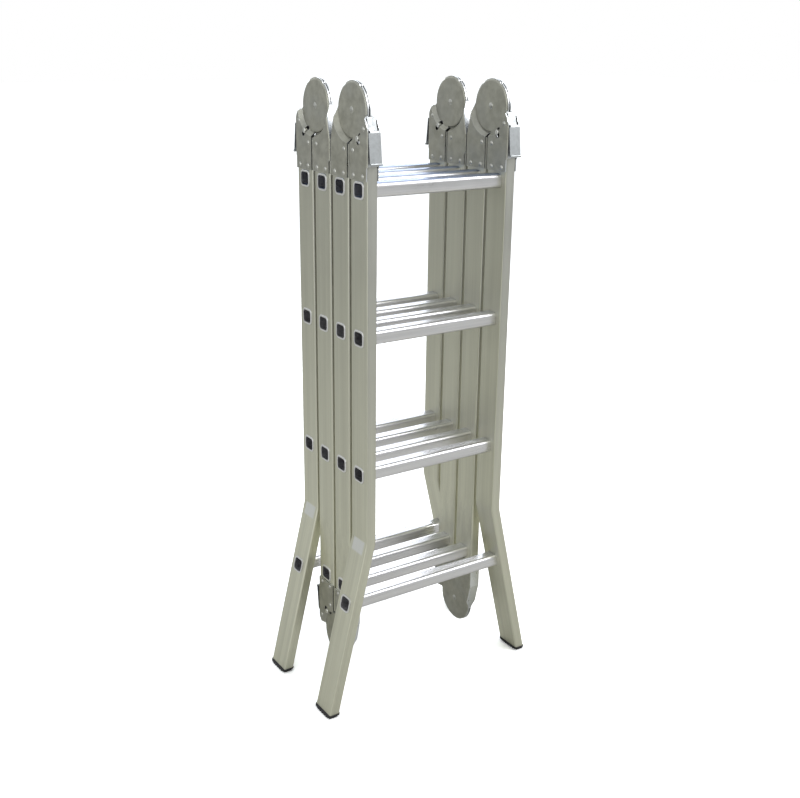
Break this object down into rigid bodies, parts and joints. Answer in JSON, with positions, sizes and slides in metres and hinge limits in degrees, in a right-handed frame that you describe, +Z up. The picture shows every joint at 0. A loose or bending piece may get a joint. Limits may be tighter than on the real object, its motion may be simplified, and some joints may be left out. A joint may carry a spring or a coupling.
{
  "type": "multi position ladder",
  "caption": "Folding aluminium ladder of hinged sections with locking hinges, tube rungs and splayed legs on rubber feet, folded flat for storage.",
  "frame": {"origin": "on the ground under the middle of the folded stack", "axes": "+Z up along the stiles, +X across along the rungs, +Y through the stack from the front outer section to the rear outer section"},
  "size_m": [0.5248, 0.2934, 1.274],
  "materials": {
    "stile_aluminium": "satin mill finish",
    "rung_aluminium": "bright ribbed extrusion",
    "hinge_steel": "zinc plated, satin",
    "lever_steel": "bright zinc",
    "pin_steel": "bright zinc",
    "spring_steel": "oiled spring wire",
    "rivet_steel": "set rivet heads",
    "foot_rubber": "matt moulded"
  },
  "bodies": {
    "front_outer_section": {"front_outer_stile_left": "stile_aluminium", "front_outer_stile_right": "stile_aluminium", "front_outer_rung_1": "rung_aluminium", "front_outer_rung_2": "rung_aluminium", "front_outer_rung_3": "rung_aluminium", "front_outer_rung_4": "rung_aluminium", "front_outer_feet": "foot_rubber", "front_outer_rivets": "rivet_steel", "front_lock_plate_left": "hinge_steel", "front_lock_plate_right": "hinge_steel", "front_lever_springs": "spring_steel", "front_pivot_rivets": "rivet_steel"},
    "front_inner_section": {"front_inner_stile_left": "stile_aluminium", "front_inner_stile_right": "stile_aluminium", "front_inner_rung_1": "rung_aluminium", "front_inner_rung_2": "rung_aluminium", "front_inner_rung_3": "rung_aluminium", "front_inner_rung_4": "rung_aluminium", "front_inner_rivets": "rivet_steel", "front_notched_plate_left": "hinge_steel", "front_notched_plate_right": "hinge_steel", "bottom_notched_plate_left": "hinge_steel", "bottom_notched_plate_right": "hinge_steel"},
    "rear_inner_section": {"rear_inner_stile_left": "stile_aluminium", "rear_inner_stile_right": "stile_aluminium", "rear_inner_rung_1": "rung_aluminium", "rear_inner_rung_2": "rung_aluminium", "rear_inner_rung_3": "rung_aluminium", "rear_inner_rung_4": "rung_aluminium", "rear_inner_rivets": "rivet_steel", "rear_notched_plate_left": "hinge_steel", "rear_notched_plate_right": "hinge_steel", "bottom_lock_plate_left": "hinge_steel", "bottom_lock_plate_right": "hinge_steel", "bottom_lever_springs": "spring_steel", "bottom_pivot_rivets": "rivet_steel"},
    "rear_outer_section": {"rear_outer_stile_left": "stile_aluminium", "rear_outer_stile_right": "stile_aluminium", "rear_outer_rung_1": "rung_aluminium", "rear_outer_rung_2": "rung_aluminium", "rear_outer_rung_3": "rung_aluminium", "rear_outer_rung_4": "rung_aluminium", "rear_outer_feet": "foot_rubber", "rear_outer_rivets": "rivet_steel", "rear_lock_plate_left": "hinge_steel", "rear_lock_plate_right": "hinge_steel", "rear_lever_springs": "spring_steel", "rear_pivot_rivets": "rivet_steel"},
    "front_lock_pin_left": {"front_lock_pin_left": "pin_steel"},
    "front_release_lever_left": {"front_release_lever_left": "lever_steel"},
    "front_lock_pin_right": {"front_lock_pin_right": "pin_steel"},
    "front_release_lever_right": {"front_release_lever_right": "lever_steel"},
    "rear_lock_pin_left": {"rear_lock_pin_left": "pin_steel"},
    "rear_release_lever_left": {"rear_release_lever_left": "lever_steel"},
    "rear_lock_pin_right": {"rear_lock_pin_right": "pin_steel"},
    "rear_release_lever_right": {"rear_release_lever_right": "lever_steel"},
    "bottom_lock_pin_left": {"bottom_lock_pin_left": "pin_steel"},
    "bottom_release_lever_left": {"bottom_release_lever_left": "lever_steel"},
    "bottom_lock_pin_right": {"bottom_lock_pin_right": "pin_steel"},
    "bottom_release_lever_right": {"bottom_release_lever_right": "lever_steel"}
  },
  "joints": [
    {"name": "front_fold", "type": "hinge", "parent": "front_inner_section", "child": "front_outer_section", "pos_m": [0, -0.068, 1.222], "axis": [-1, 0, 0], "range_deg": [0, 180]},
    {"name": "middle_fold", "type": "hinge", "parent": "front_inner_section", "child": "rear_inner_section", "pos_m": [0, 0, 0.102], "axis": [-1, 0, 0], "range_deg": [0, 180]},
    {"name": "rear_fold", "type": "hinge", "parent": "rear_inner_section", "child": "rear_outer_section", "pos_m": [0, 0.068, 1.222], "axis": [1, 0, 0], "range_deg": [0, 180]},
    {"name": "front_lever_turn_left", "type": "hinge", "parent": "front_outer_section", "child": "front_release_lever_left", "pos_m": [-0.159, -0.121, 1.192], "axis": [1, 0, 0], "range_deg": [0, 6.29]},
    {"name": "front_lock_pin_slide_left", "type": "slide", "parent": "front_outer_section", "child": "front_lock_pin_left", "axis": [0, 0.5446, 0.8387], "range_m": [0, 0.0031]},
    {"name": "front_lever_turn_right", "type": "hinge", "parent": "front_outer_section", "child": "front_release_lever_right", "pos_m": [0.159, -0.121, 1.192], "axis": [1, 0, 0], "range_deg": [0, 6.29]},
    {"name": "front_lock_pin_slide_right", "type": "slide", "parent": "front_outer_section", "child": "front_lock_pin_right", "axis": [0, 0.5446, 0.8387], "range_m": [0, 0.0031]},
    {"name": "rear_lever_turn_left", "type": "hinge", "parent": "rear_outer_section", "child": "rear_release_lever_left", "pos_m": [-0.159, 0.121, 1.192], "axis": [-1, 0, 0], "range_deg": [0, 6.29]},
    {"name": "rear_lock_pin_slide_left", "type": "slide", "parent": "rear_outer_section", "child": "rear_lock_pin_left", "axis": [0, -0.5446, 0.8387], "range_m": [0, 0.0031]},
    {"name": "rear_lever_turn_right", "type": "hinge", "parent": "rear_outer_section", "child": "rear_release_lever_right", "pos_m": [0.159, 0.121, 1.192], "axis": [-1, 0, 0], "range_deg": [0, 6.29]},
    {"name": "rear_lock_pin_slide_right", "type": "slide", "parent": "rear_outer_section", "child": "rear_lock_pin_right", "axis": [0, -0.5446, 0.8387], "range_m": [0, 0.0031]},
    {"name": "bottom_lever_turn_left", "type": "hinge", "parent": "rear_inner_section", "child": "bottom_release_lever_left", "pos_m": [-0.159, 0.053, 0.132], "axis": [1, 0, 0], "range_deg": [0, 6.29]},
    {"name": "bottom_lock_pin_slide_left", "type": "slide", "parent": "rear_inner_section", "child": "bottom_lock_pin_left", "axis": [0, -0.5446, -0.8387], "range_m": [0, 0.0031]},
    {"name": "bottom_lever_turn_right", "type": "hinge", "parent": "rear_inner_section", "child": "bottom_release_lever_right", "pos_m": [0.159, 0.053, 0.132], "axis": [1, 0, 0], "range_deg": [0, 6.29]},
    {"name": "bottom_lock_pin_slide_right", "type": "slide", "parent": "rear_inner_section", "child": "bottom_lock_pin_right", "axis": [0, -0.5446, -0.8387], "range_m": [0, 0.0031]}
  ],
  "couplings": [
    {"joint": "rear_fold", "follows": "middle_fold", "ratio": 1},
    {"joint": "front_lock_pin_slide_left", "follows": "front_lever_turn_left", "m_per_rad": 0.028238},
    {"joint": "front_lock_pin_slide_right", "follows": "front_lever_turn_right", "m_per_rad": 0.028238},
    {"joint": "rear_lock_pin_slide_left", "follows": "rear_lever_turn_left", "m_per_rad": 0.028238},
    {"joint": "rear_lock_pin_slide_right", "follows": "rear_lever_turn_right", "m_per_rad": 0.028238},
    {"joint": "bottom_lock_pin_slide_left", "follows": "bottom_lever_turn_left", "m_per_rad": 0.028238},
    {"joint": "bottom_lock_pin_slide_right", "follows": "bottom_lever_turn_right", "m_per_rad": 0.028238}
  ]
}
